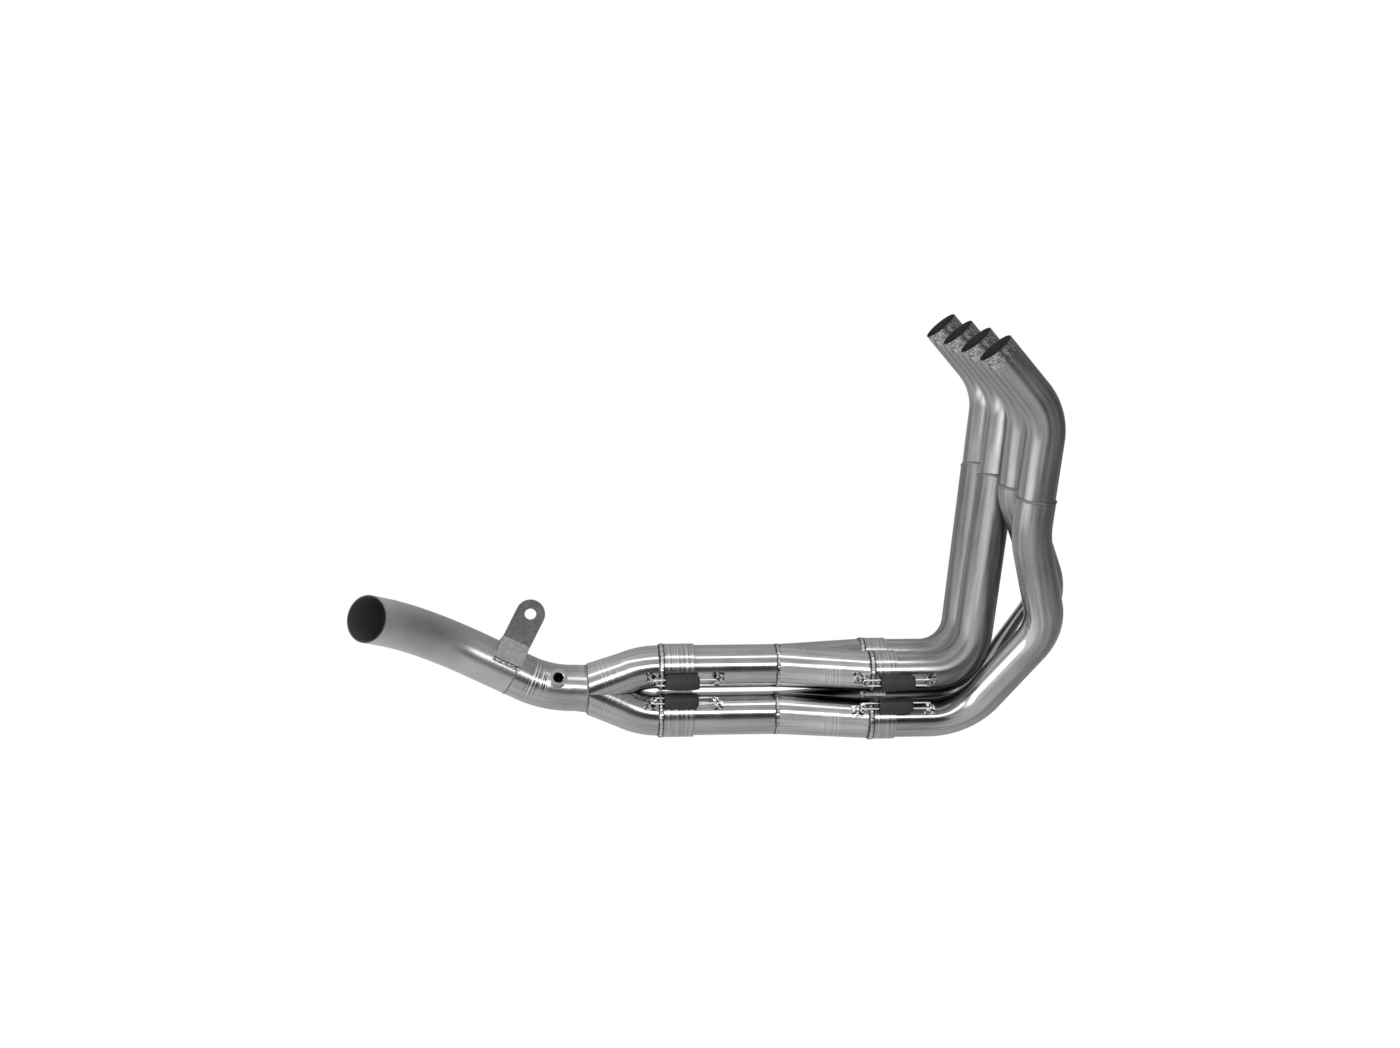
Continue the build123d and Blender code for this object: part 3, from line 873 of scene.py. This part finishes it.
@dataclass(frozen=True)
class Bead:
    """A rippled weld round a joint.

    Attributes:
        origin: Centre of the joint.
        direction: Axis of the joint.
        back: Radius that the weld lies on behind the joint.
        front: Radius in front of it.
        reach: Half width behind and in front.
        style: Its ripples.
        rows: Points across the weld.
        samples: Points to a ripple.
        valley: Share of the full height that is left between two ripples.
        lean: How far a ripple's edges trail behind its middle, in radians.
        tuck: How far the edges dip under the metal.
        wander: How much the weld's width changes round it.
        waves: Changes of width in one turn.
    """

    origin: np.ndarray
    direction: np.ndarray
    back: float
    front: float
    reach: tuple[float, float] = (2.0, 2.0)
    style: WeldStyle = WeldStyle.NEAT
    rows: int = 11
    samples: int = 6
    valley: float = 0.45
    lean: float = 1.98
    tuck: float = 0.25
    wander: float = 0.22
    waves: int = 32

    def surface(self, rng: np.random.Generator) -> Surface:
        """The bead's rippled skin, with its edges just under the metal.

        Its height is a parabola across the joint times a cosine wave round it, on a base that
        blends from the radius behind to the radius in front.

        Args:
            rng: Source of the uneven ripple sizes.

        Returns:
            The surface.
        """
        pitch, uneven = self.style.value
        top = max(self.back, self.front)
        ripples = round(2 * pi * top / pitch)
        angle = circle(ripples * self.samples)
        across = np.linspace(-1, 1, self.rows)
        size = np.interp(angle / (2 * pi) * ripples, np.arange(ripples + 1),
                         np.append(rng.uniform(1 - uneven, 1, ripples), 1.0))
        wave = 0.5 + 0.5 * np.cos(ripples * angle[None, :] - self.lean * across[:, None] ** 2)
        proud = S.bead_proud * (self.valley + (1 - self.valley) * wave) * size[None, :]
        base = np.where(across < 0, self.back, self.front)[:, None]
        blend = base + (top - base) * (1 - np.abs(across[:, None])) ** 0.7
        radius = blend + proud * (1 - across[:, None] ** 2) - self.tuck * across[:, None] ** 6
        wander = np.interp(angle, np.linspace(0, 2 * pi, self.waves + 1),
                           np.append(rng.uniform(-1, 1, self.waves), 0.0))
        wander = 1 + self.wander * uneven * wander
        shift = np.where(across < 0, across * self.reach[0], across * self.reach[1])
        shift = shift[:, None] * wander[None, :]
        axis = unit(self.direction)
        side = unit(Y_AXIS - axis * axis[1])
        other = np.cross(axis, side)
        radial = side * np.cos(angle)[:, None] + other * np.sin(angle)[:, None]
        points = self.origin + shift[..., None] * axis + radius[..., None] * radial[None]
        return Surface().grid(points, shift.mean(1), flip=True)


class Pipes:
    """Head pipes and primary pipes, one route to each cylinder."""

    def __init__(self, builder: Builder) -> None:
        """Keeps the builder."""
        self.builder = builder

    def build(self) -> None:
        """Makes all eight tubes."""
        for cylinder in CYLINDERS:
            self._cylinder(cylinder)

    @staticmethod
    def corners(cylinder: int) -> tuple[list[np.ndarray], list[float]]:
        """Corners of a primary pipe below its head bend.

        Args:
            cylinder: Number of the cylinder.

        Returns:
            The corners and the radius of the arc at each.
        """
        side, height = S.run(cylinder)
        if cylinder < 3:
            return [vec(S.pair_inlet_x + S.upper_reach, side, height)], [S.upper_radius]
        reach = S.lower_far_reach if cylinder == 3 else S.lower_near_reach
        knees = S.knees_3 if cylinder == 3 else S.knees_4
        high = S.knee_3_radius if cylinder == 3 else S.knee_4_radius
        corners = [vec(S.pair_inlet_x + knee[0], *knee[1:]) for knee in knees]
        corners.append(vec(S.pair_inlet_x + reach, side, height))
        return corners, [high, S.low_knee_radius, S.lower_radius]

    @classmethod
    def joint(cls, cylinder: int) -> tuple[np.ndarray, np.ndarray, np.ndarray]:
        """Where a head pipe starts, bends and ends.

        Args:
            cylinder: Number of the cylinder.

        Returns:
            Its mouth, its corner, and its joint with the primary pipe.
        """
        mouth = vec(S.pair_inlet_x + S.head_setback, (2.5 - cylinder) * S.cylinder_pitch,
                    S.head_height)
        corner = mouth + vec(S.head_leg[0], 0.0, -S.head_leg[1])
        descent = cls.corners(cylinder)[0][0] - corner
        return mouth, corner, corner + descent * ((corner[2] - S.joint_height) / -descent[2])

    def _cylinder(self, cylinder: int) -> None:
        """Makes one cylinder's head pipe and primary pipe."""
        mouth, corner, joint = self.joint(cylinder)
        corners, radii = self.corners(cylinder)
        end = vec(S.pair_inlet_x + S.end_gap, *S.run(cylinder))
        head = Route([mouth, corner, joint], [S.head_bend_radius])
        primary = Route([joint, *corners, end], radii)
        self.builder.tube(f"head_pipe_{cylinder}", head, S.head_r, Metal.HEAD, Metal.CARBON)
        metal = Metal.RISER if cylinder < 3 else Metal.KNEE
        self.builder.tube(f"primary_pipe_{cylinder}", primary, S.primary_r, metal)


def clipped(mesh: bpy.types.Mesh, cuts: Iterable[tuple[np.ndarray, np.ndarray]]) -> bpy.types.Mesh:
    """Cuts a mesh by planes.

    Args:
        mesh: The mesh, in metres.
        cuts: A point in millimetres and a direction for each plane; what lies along it stays.

    Returns:
        The same mesh.
    """
    form = bmesh.new()
    form.from_mesh(mesh)
    for place, keep in cuts:
        everything = [*form.verts, *form.edges, *form.faces]
        bmesh.ops.bisect_plane(form, geom=everything, dist=SMALLEST_CUT,
                               plane_co=Vector(place * MM), plane_no=Vector(keep),
                               clear_inner=True)
    form.to_mesh(mesh)
    form.free()
    return mesh


def joined(name: str, meshes: Sequence[bpy.types.Mesh]) -> bpy.types.Mesh:
    """Joins meshes and removes them.

    Args:
        name: Name of the new mesh.
        meshes: The meshes.

    Returns:
        One mesh.
    """
    form = bmesh.new()
    for mesh in meshes:
        form.from_mesh(mesh)
    whole = bpy.data.meshes.new(name)
    form.to_mesh(whole)
    form.free()
    for mesh in meshes:
        bpy.data.meshes.remove(mesh)
    return whole


class Collectors:
    """The two pair collectors, the final collector and the straight pipes between them."""

    CONE_ROWS, CONE_SEGMENTS = 34, 120
    BRANCH_ROWS, BRANCH_SEGMENTS, BRANCH_STEP = 30, 144, 3.0

    def __init__(self, builder: Builder) -> None:
        """Keeps the builder."""
        self.builder = builder

    def build(self) -> None:
        """Makes the collectors and the secondary pipes."""
        for name, height in (("upper", S.upper_z), ("lower", S.lower_z)):
            self._pair(name, height)
            route = Route([vec(S.secondary_end_x, 0, height), vec(S.pair_outlet_x, 0, height)])
            self.builder.tube(f"secondary_pipe_{name}", route, S.secondary_r, Metal.TUBE)
        self._final()

    def _pair(self, name: str, height: float) -> None:
        """A pair collector of two cones, each cut off at the plane between them.

        Radius and side offset grow evenly from the outlet to the two inlets.

        Args:
            name: Which pair.
            height: Height of its run.
        """
        halves = []
        for side in (1, -1):
            share = np.linspace(0, 1, self.CONE_ROWS)[:, None]
            angle = circle(self.CONE_SEGMENTS)[None, :]
            radius = S.secondary_r + (S.pair_inlet_r - S.secondary_r) * share
            points = np.stack(np.broadcast_arrays(
                S.pair_outlet_x + S.pair_collector_length * share,
                side * S.branch_y * share + radius * np.cos(angle),
                height + radius * np.sin(angle)), 2)
            along = share[:, 0] * S.pair_collector_length
            half = Surface().grid(points, along).mesh("half")
            halves.append(clipped(half, [(vec(0, 0, 0), side * Y_AXIS)]))
        node = f"pair_collector_{name}"
        metal = Metal.PAIR_UPPER if name == "upper" else Metal.PAIR_LOWER
        self.builder.piece(f"{node}_skin", joined(node, halves), (metal,), "collector_steel",
                           [node])

    @staticmethod
    def _leg(height: float) -> tuple[np.ndarray, np.ndarray, np.ndarray, np.ndarray]:
        """Centre line of a branch.

        Args:
            height: Height of the run that it continues.

        Returns:
            Its inlet, its corner, the start of its taper and its end at the outlet.
        """
        inlet = vec(S.final_inlet_x, 0, height)
        corner = inlet - X_AXIS * S.branch_setback
        side = 1 if height > S.outlet[2] else -1
        meet = S.outlet + vec(0, 0, side * S.merge_offset)
        return inlet, corner, corner + unit(meet - corner) * S.branch_taper_start, meet

    def _final(self) -> None:
        """The final collector: two bent and tapered branches, cut where their lines cross."""
        legs = [self._leg(S.upper_z), self._leg(S.lower_z)]
        slopes = [(meet - corner)[2] / -(meet - corner)[0] for _, corner, _, meet in legs]
        run = 2 * S.merge_offset / (slopes[1] - slopes[0])
        merge = legs[0][3] + vec(-run, 0, slopes[0] * run)
        normal = vec((slopes[0] + slopes[1]) / 2, 0, 1)
        halves = []
        for (inlet, corner, taper, meet), side in zip(legs, (1, -1)):
            bend = Route([inlet, corner, taper], [S.branch_bend_radius],
                         step=self.BRANCH_STEP)
            rows, along = rings(bend, S.secondary_r, self.BRANCH_SEGMENTS)
            leg = meet - taper
            stretch = 1 + S.secondary_r / np.linalg.norm(leg)
            share = np.linspace(0, stretch, self.BRANCH_ROWS)[1:]
            cone = rows[-1] - taper
            grow = 1 + (S.branch_outlet_r / S.secondary_r - 1) * share
            far = taper + leg * share[:, None, None] + cone * grow[:, None, None]
            rows = np.concatenate([rows, far])
            along = np.concatenate([along, along[-1] + share * np.linalg.norm(leg)])
            half = Surface().grid(rows, along, flip=True).mesh("half")
            halves.append(clipped(half, [(merge, side * normal), (S.outlet, X_AXIS)]))
        self.builder.piece("final_collector_skin", joined("final_collector", halves),
                           (Metal.COLLECTOR,), "collector_steel", ["final_collector"])


class Tail:
    """The flared link pipe and the tail pipe."""

    FINE_STEP, FINE_TURN = 1.5, radians(0.7)

    def __init__(self, builder: Builder) -> None:
        """Finds the corners of the two pipes."""
        self.builder = builder
        self.rise = vec(-cos(S.link_rise), 0, sin(S.link_rise))
        self.start = S.outlet + vec(-S.flare_length, 0, S.flare_drop)
        self.corner = self.start - X_AXIS * (S.link_run - S.flare_length)
        self.joint = self.corner + self.rise * S.link_joint_distance

    def build(self) -> None:
        """Makes both pipes."""
        route = Route([self.start, self.corner, self.joint], [S.link_bend_radius],
                      self.FINE_STEP, self.FINE_TURN)
        outer, along = rings(route, S.link_r)
        inner, _ = rings(route, S.link_r - S.wall)
        lip = outer[0] - self.start
        flare = S.outlet + lip * (S.flare_r / S.link_r)
        outer = np.concatenate([flare[None], outer])
        along = np.concatenate([[-S.flare_length], along]) + S.flare_length
        surface = Surface().grid(outer, along, flip=True).grid(inner, along[1:], slot=1)
        surface.drill(*self._bung(), S.bung_cut)
        self.builder.piece("link_pipe_skin", surface.mesh("link_pipe"), (Metal.LINK, Metal.SOOT),
                           "pipe_steel", ["link_pipe"])
        corner = self.corner + self.rise * S.tail_corner_distance
        direction = vec(-cos(S.tail_rise) * cos(S.tail_turn), -cos(S.tail_rise) * sin(S.tail_turn),
                        sin(S.tail_rise))
        tail = Route([self.joint, corner, corner + direction * S.tail_leg], [S.tail_bend_radius])
        self.builder.tube("tail_pipe", tail, S.link_r, Metal.TAIL)

    @staticmethod
    def _bung() -> tuple[np.ndarray, np.ndarray]:
        """Places the lambda bung's bore on the arc of the link pipe.

        Returns:
            Its foot on the centre line and its direction.
        """
        radius = S.link_bend_radius
        straight = S.link_run - radius * tan(S.link_rise / 2)
        swing = (S.bung_distance - straight) / radius
        centre = S.outlet + vec(-straight, 0, S.flare_drop + radius)
        upward = vec(sin(swing), 0, cos(swing))
        foot = centre - radius * upward
        return foot, upward * sin(S.bung_tilt) - Y_AXIS * cos(S.bung_tilt)


class Joints:
    """Slip sleeves and all the welds that go round a joint."""

    SLEEVE_REACH = (3.8, 3.2)
    PAIR_REACH = (3.8, 3.4)
    OUTLET_REACH = (1.4, 1.0)
    TAIL_REACH = (0.9, 0.9)
    PIPE_REACH = (1.6, 1.8)

    def __init__(self, builder: Builder, tail: Tail) -> None:
        """Keeps the builder and the tail, and seeds the ripples."""
        self.builder = builder
        self.tail = tail
        self.rng = np.random.default_rng(SEED)

    def build(self) -> None:
        """Makes the sleeves and the beads."""
        for cylinder in CYLINDERS:
            self._primary(cylinder)
        for name, height in (("upper", S.upper_z), ("lower", S.lower_z)):
            inlet = vec(S.final_inlet_x, 0, height)
            self.builder.sleeve(f"final_sleeve_{name}", inlet, S.final_sleeve_length,
                                S.final_sleeve_inner, S.final_sleeve_outer)
            self._weld(f"final_sleeve_weld_{name}",
                       Bead(inlet, X_AXIS, S.secondary_r, S.final_sleeve_outer,
                            self.SLEEVE_REACH, WeldStyle.ROUGH))
            outlet = vec(S.pair_outlet_x, 0, height)
            self._weld(f"pair_outlet_weld_{name}",
                       Bead(outlet, X_AXIS, S.secondary_r, S.secondary_r, self.PAIR_REACH,
                            WeldStyle.ROUGH))
        self._weld("outlet_weld", Bead(S.outlet, X_AXIS, S.flare_r, S.flare_r, self.OUTLET_REACH),
                   Metal.LINE)
        self._weld("tail_weld", Bead(self.tail.joint, self.tail.rise, S.link_r, S.link_r,
                                     self.TAIL_REACH), Metal.LINE)

    def _primary(self, cylinder: int) -> None:
        """Makes the ring weld, slip sleeve and sleeve weld of one cylinder's pipe."""
        _, corner, joint = Pipes.joint(cylinder)
        self._weld(f"pipe_weld_{cylinder}",
                   Bead(joint, corner - joint, S.primary_r, S.head_r, self.PIPE_REACH), Metal.LINE)
        inlet = vec(S.pair_inlet_x, *S.run(cylinder))
        self.builder.sleeve(f"slip_sleeve_{cylinder}", inlet, S.primary_sleeve_length,
                            S.primary_sleeve_inner, S.primary_sleeve_outer)
        self._weld(f"sleeve_weld_{cylinder}",
                   Bead(inlet, X_AXIS, S.pair_inlet_r, S.primary_sleeve_outer,
                        self.SLEEVE_REACH, WeldStyle.ROUGH))

    def _weld(self, node: str, bead: Bead, metal: Metal = Metal.WELD) -> None:
        """Makes the piece of one weld."""
        mesh = bead.surface(self.rng).mesh(node, sharp=pi)
        self.builder.piece(f"{node}_skin", mesh, (metal,), "weld_bead", [node])


class Fittings:
    """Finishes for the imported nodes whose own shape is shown, and the rubber covers."""

    FINISH_OF = {
        "hanger_bracket": Metal.BRACKET,
        "bracket_weld": Metal.SEAM,
        "lambda_bung": Metal.BUNG,
        "collector_lugs": Metal.LUG,
        "pipe_lugs": Metal.LUG,
    }

    COVER_ROWS, COVER_SEGMENTS = 41, 64
    CROWN_FALL, BELLY_FALL = 0.13, 0.03
    EDGE_FALL, EDGE_SHARE = 0.5, 1 / 20
    LIP = 0.3

    def __init__(self, builder: Builder, nodes: dict[str, bpy.types.Object]) -> None:
        """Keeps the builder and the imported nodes."""
        self.builder = builder
        self.nodes = nodes

    def build(self) -> None:
        """Dresses the bracket, bung, lugs, springs, hooks and covers."""
        for name, node in self.nodes.items():
            if name.startswith("spring") and "cover" not in name:
                self.builder.dress(node, Metal.WIRE)
            elif name in self.FINISH_OF:
                self.builder.dress(node, self.FINISH_OF[name])
        for cylinder in CYLINDERS:
            side, height = S.run(cylinder)
            angle = S.primary_angles[0 if cylinder < 3 else 1]
            self._cover(str(cylinder), vec(S.pair_inlet_x + S.primary_spring, side, height),
                        1 if side > 0 else -1, angle, S.primary_sleeve_outer)
        for name, height, angle in zip(("upper", "lower"), (S.upper_z, S.lower_z), S.final_angles):
            self._cover(name, vec(S.final_inlet_x + S.final_spring, 0, height), -1, angle,
                        S.final_sleeve_outer)

    def _cover(self, name: str, middle: np.ndarray, side: int, angle: float, sleeve: float) -> None:
        """A rubber sleeve over a spring, widest in its middle and rounded at its ends.

        The outer radius falls with the second and fourth power of the distance from the middle,
        and with the square of how far a place lies in the last twentieth.

        Args:
            name: Which spring it covers.
            middle: Point of the run's centre line beside its middle.
            side: 1 if it is on the bike's left, -1 on its right.
            angle: Its height round the tube, from the side.
            sleeve: Outer radius of the sleeve that it lies on.
        """
        out = vec(0, side * cos(angle), sin(angle))
        across = vec(0, -sin(angle), side * cos(angle))
        share = np.concatenate([[-1.0], np.linspace(-1, 1, self.COVER_ROWS), [1.0]])
        crown = S.cover_outer * (1 - self.CROWN_FALL * share ** 4 - self.BELLY_FALL * share ** 2)
        beyond = (np.abs(share) - 1) / self.EDGE_SHARE + 1
        crown -= self.EDGE_FALL * np.maximum(0, beyond) ** 2
        crown[[0, -1]] = S.cover_inner + self.LIP
        turn = circle(self.COVER_SEGMENTS)[None, :, None]
        axis = middle + out * (sleeve + S.cover_stand_off + S.cover_outer)
        radial = out * np.cos(turn) + across * np.sin(turn)
        place = axis + X_AXIS * share[:, None, None] * S.cover_length / 2
        surface = Surface().grid(place + crown[:, None, None] * radial,
                                 share * S.cover_length / 2, flip=side > 0)
        mesh = surface.mesh(f"spring_cover_{name}")
        self.builder.piece(f"spring_cover_{name}_skin", mesh, (Metal.RUBBER,), "rubber_cover",
                           [f"spring_cover_{name}"])


@dataclass(frozen=True)
class CameraFit:
    """The camera that the photograph's outline was fitted with.

    Attributes:
        azimuth: Angle round the part; 0 looks along +Y.
        elevation: Angle above the horizon.
        roll: Turn about the line of sight.
        distance: From the target to the camera, in millimetres.
        target: The point at the picture's middle, in millimetres.
        lens: Focal length over the picture's long side.
        sensor: Width of the sensor, in millimetres.
        clip: Nearest and farthest distance seen, in metres.
    """

    azimuth: float = radians(-6.547)
    elevation: float = radians(10.501)
    roll: float = radians(0.941)
    distance: float = 2181.6
    target: tuple[float, float, float] = (-14.0, 0.0, 227.4)
    lens: float = 2112.5 / 1400
    sensor: float = 36.0
    clip: tuple[float, float] = (0.05, 50.0)

    def place(self) -> bpy.types.Object:
        """Adds the camera and makes it the scene's own.

        Returns:
            The camera.
        """
        data = bpy.data.cameras.new("camera")
        data.sensor_width = self.sensor
        data.lens = self.lens * data.sensor_width
        data.clip_start, data.clip_end = self.clip
        camera = bpy.data.objects.new("camera", data)
        bpy.context.scene.collection.objects.link(camera)
        back = vec(sin(self.azimuth) * cos(self.elevation),
                   -cos(self.azimuth) * cos(self.elevation), sin(self.elevation))
        right = vec(cos(self.azimuth), sin(self.azimuth), 0)
        above = np.cross(back, right)
        across = right * cos(self.roll) + above * sin(self.roll)
        upward = above * cos(self.roll) - right * sin(self.roll)
        place = (np.array(self.target) + back * self.distance) * MM
        matrix = np.eye(4)
        matrix[:3, :] = np.stack([across, upward, back, place], 1)
        camera.matrix_world = Matrix(matrix.tolist())
        bpy.context.scene.camera = camera
        return camera


class Studio:
    """Soft light from strips, a plain floor and the tone of the room.

    Directions are parts of a unit vector: X to the right and Z up.

    Attributes:
        ROOM: Height and level of each stop of the room's tone.
        SHADE: The same for what is left of it in the dark part of the room.
        STRIPS: Height, half width and power of each light strip.
        FRONT: Side limits of the strips; nothing, full, full, nothing.
        DARK: Side limits of the dark part.
        SIDE: Side limits, height limits and power of the light at the left.
        TILT: How much darker the room is to the right.
        VIEWER: Depth over which the viewer's half of the room fades in.
        FLOOR: Half width of the floor, in millimetres.
    """

    ROOM = ((-1.0, 0.48), (-0.45, 0.52), (-0.20, 0.46), (0.20, 0.36), (0.5, 0.42), (1.0, 0.50))
    SHADE = ((-0.36, 1.0), (-0.22, 0.22), (0.06, 0.06), (0.24, 0.50), (0.50, 1.0))
    STRIPS = ((0.36, 0.055, 4.8), (0.885, 0.026, 2.4))
    FRONT = (-0.85, -0.65, 0.31, 0.45)
    DARK = (-0.16, 0.0, 0.30, 0.46)
    SIDE = ((-1.10, -1.0, -0.84, -0.48), (-0.20, -0.08, 0.10, 0.20), 3.0)
    TILT = 0.6
    VIEWER = (0.0, 0.4)
    FLOOR = 6000.0

    def build(self) -> None:
        """Sets the world and the floor."""
        self._world()
        self._floor()

    def _world(self) -> None:
        """The room's light, seen only by reflection; the camera sees white."""
        world = bpy.data.worlds.new("studio")
        bpy.context.scene.world = world
        world.use_nodes = True
        graph = Graph(world.node_tree)
        x, y, z = graph.split(graph.node("ShaderNodeTexCoord", output="Generated"))
        front, dark = self._window(x, y, self.FRONT), self._window(x, y, self.DARK)
        shade = self._ramp(z, self.SHADE)
        tone = self._ramp(z, self.ROOM) * (1.0 - self.TILT * x) * (1.0 - dark * (1.0 - shade))
        for height, half, power in self.STRIPS:
            strip = z.smooth(height - 2 * half, height - half / 2)
            strip = strip * (1.0 - z.smooth(height + half / 2, height + 2 * half))
            tone = tone + strip * front * power
        (left, start, end, right), (low, bottom, top, high), power = self.SIDE
        side = self._window(x, y, (left, start, end, right))
        tone = tone + side * z.smooth(low, bottom) * (1.0 - z.smooth(top, high)) * power
        seen = graph.node("ShaderNodeLightPath", output="Is Camera Ray")
        tone = tone * (1.0 - seen) + seen
        light = graph.node("ShaderNodeBackground", graph.join(tone, tone, tone), 1.0)
        graph.node("ShaderNodeOutputWorld", light)

    @classmethod
    def _window(cls, x: Wire, y: Wire, limits: tuple[float, float, float, float]) -> Wire:
        """A soft window on the viewer's side.

        Args:
            x: Direction's part to the right.
            y: Its part away from the viewer.
            limits: Where it starts to open, is open, starts to close and is closed.

        Returns:
            One inside the window and zero outside it.
        """
        left, start, end, right = limits
        opened = x.smooth(left, start) * (1.0 - x.smooth(end, right))
        return opened * (0.0 - y).smooth(*cls.VIEWER)

    @staticmethod
    def _ramp(place: Wire, stops: Sequence[tuple[float, float]]) -> Wire:
        """A value that passes softly from stop to stop.

        Args:
            place: What the stops are places of.
            stops: Place and level of each.

        Returns:
            The level at the place.
        """
        level = stops[0][1]
        for (low, first), (high, second) in zip(stops, stops[1:]):
            level = place.smooth(low, high) * (second - first) + level
        return level

    def _floor(self) -> None:
        """A white floor that the light passes through."""
        half = self.FLOOR
        corners = np.array([[(-half, -half, 0.0), (half, -half, 0.0)],
                            [(-half, half, 0.0), (half, half, 0.0)]])
        mesh = Surface().grid(corners, np.array((0.0, 1.0)), closed=False).mesh("floor")
        material = bpy.data.materials.new("floor")
        material.use_nodes = True
        graph = Graph(material.node_tree)
        seen = graph.node("ShaderNodeLightPath", output="Is Camera Ray")
        pale = graph.node("ShaderNodeEmission", (1.0, 1.0, 1.0, 1.0), 1.0)
        clear = graph.node("ShaderNodeBsdfTransparent")
        mixed = graph.node("ShaderNodeMixShader", seen, clear, pale)
        graph.node("ShaderNodeOutputMaterial", mixed)
        mesh.materials.append(material)
        floor = bpy.data.objects.new("floor", mesh)
        bpy.context.scene.collection.objects.link(floor)


def main() -> None:
    """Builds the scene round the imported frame."""
    logging.basicConfig(level=logging.INFO)
    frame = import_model()
    scene = bpy.context.scene
    scene.view_settings.view_transform = "Standard"
    builder = Builder()
    tail = Tail(builder)
    Pipes(builder).build()
    Collectors(builder).build()
    tail.build()
    Joints(builder, tail).build()
    Fittings(builder, frame["nodes"]).build()
    CameraFit().place()
    Studio().build()
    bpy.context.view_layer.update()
    LOG.info("%d nodes dressed", len(frame["nodes"]))


if __name__ == "__main__":
    main()
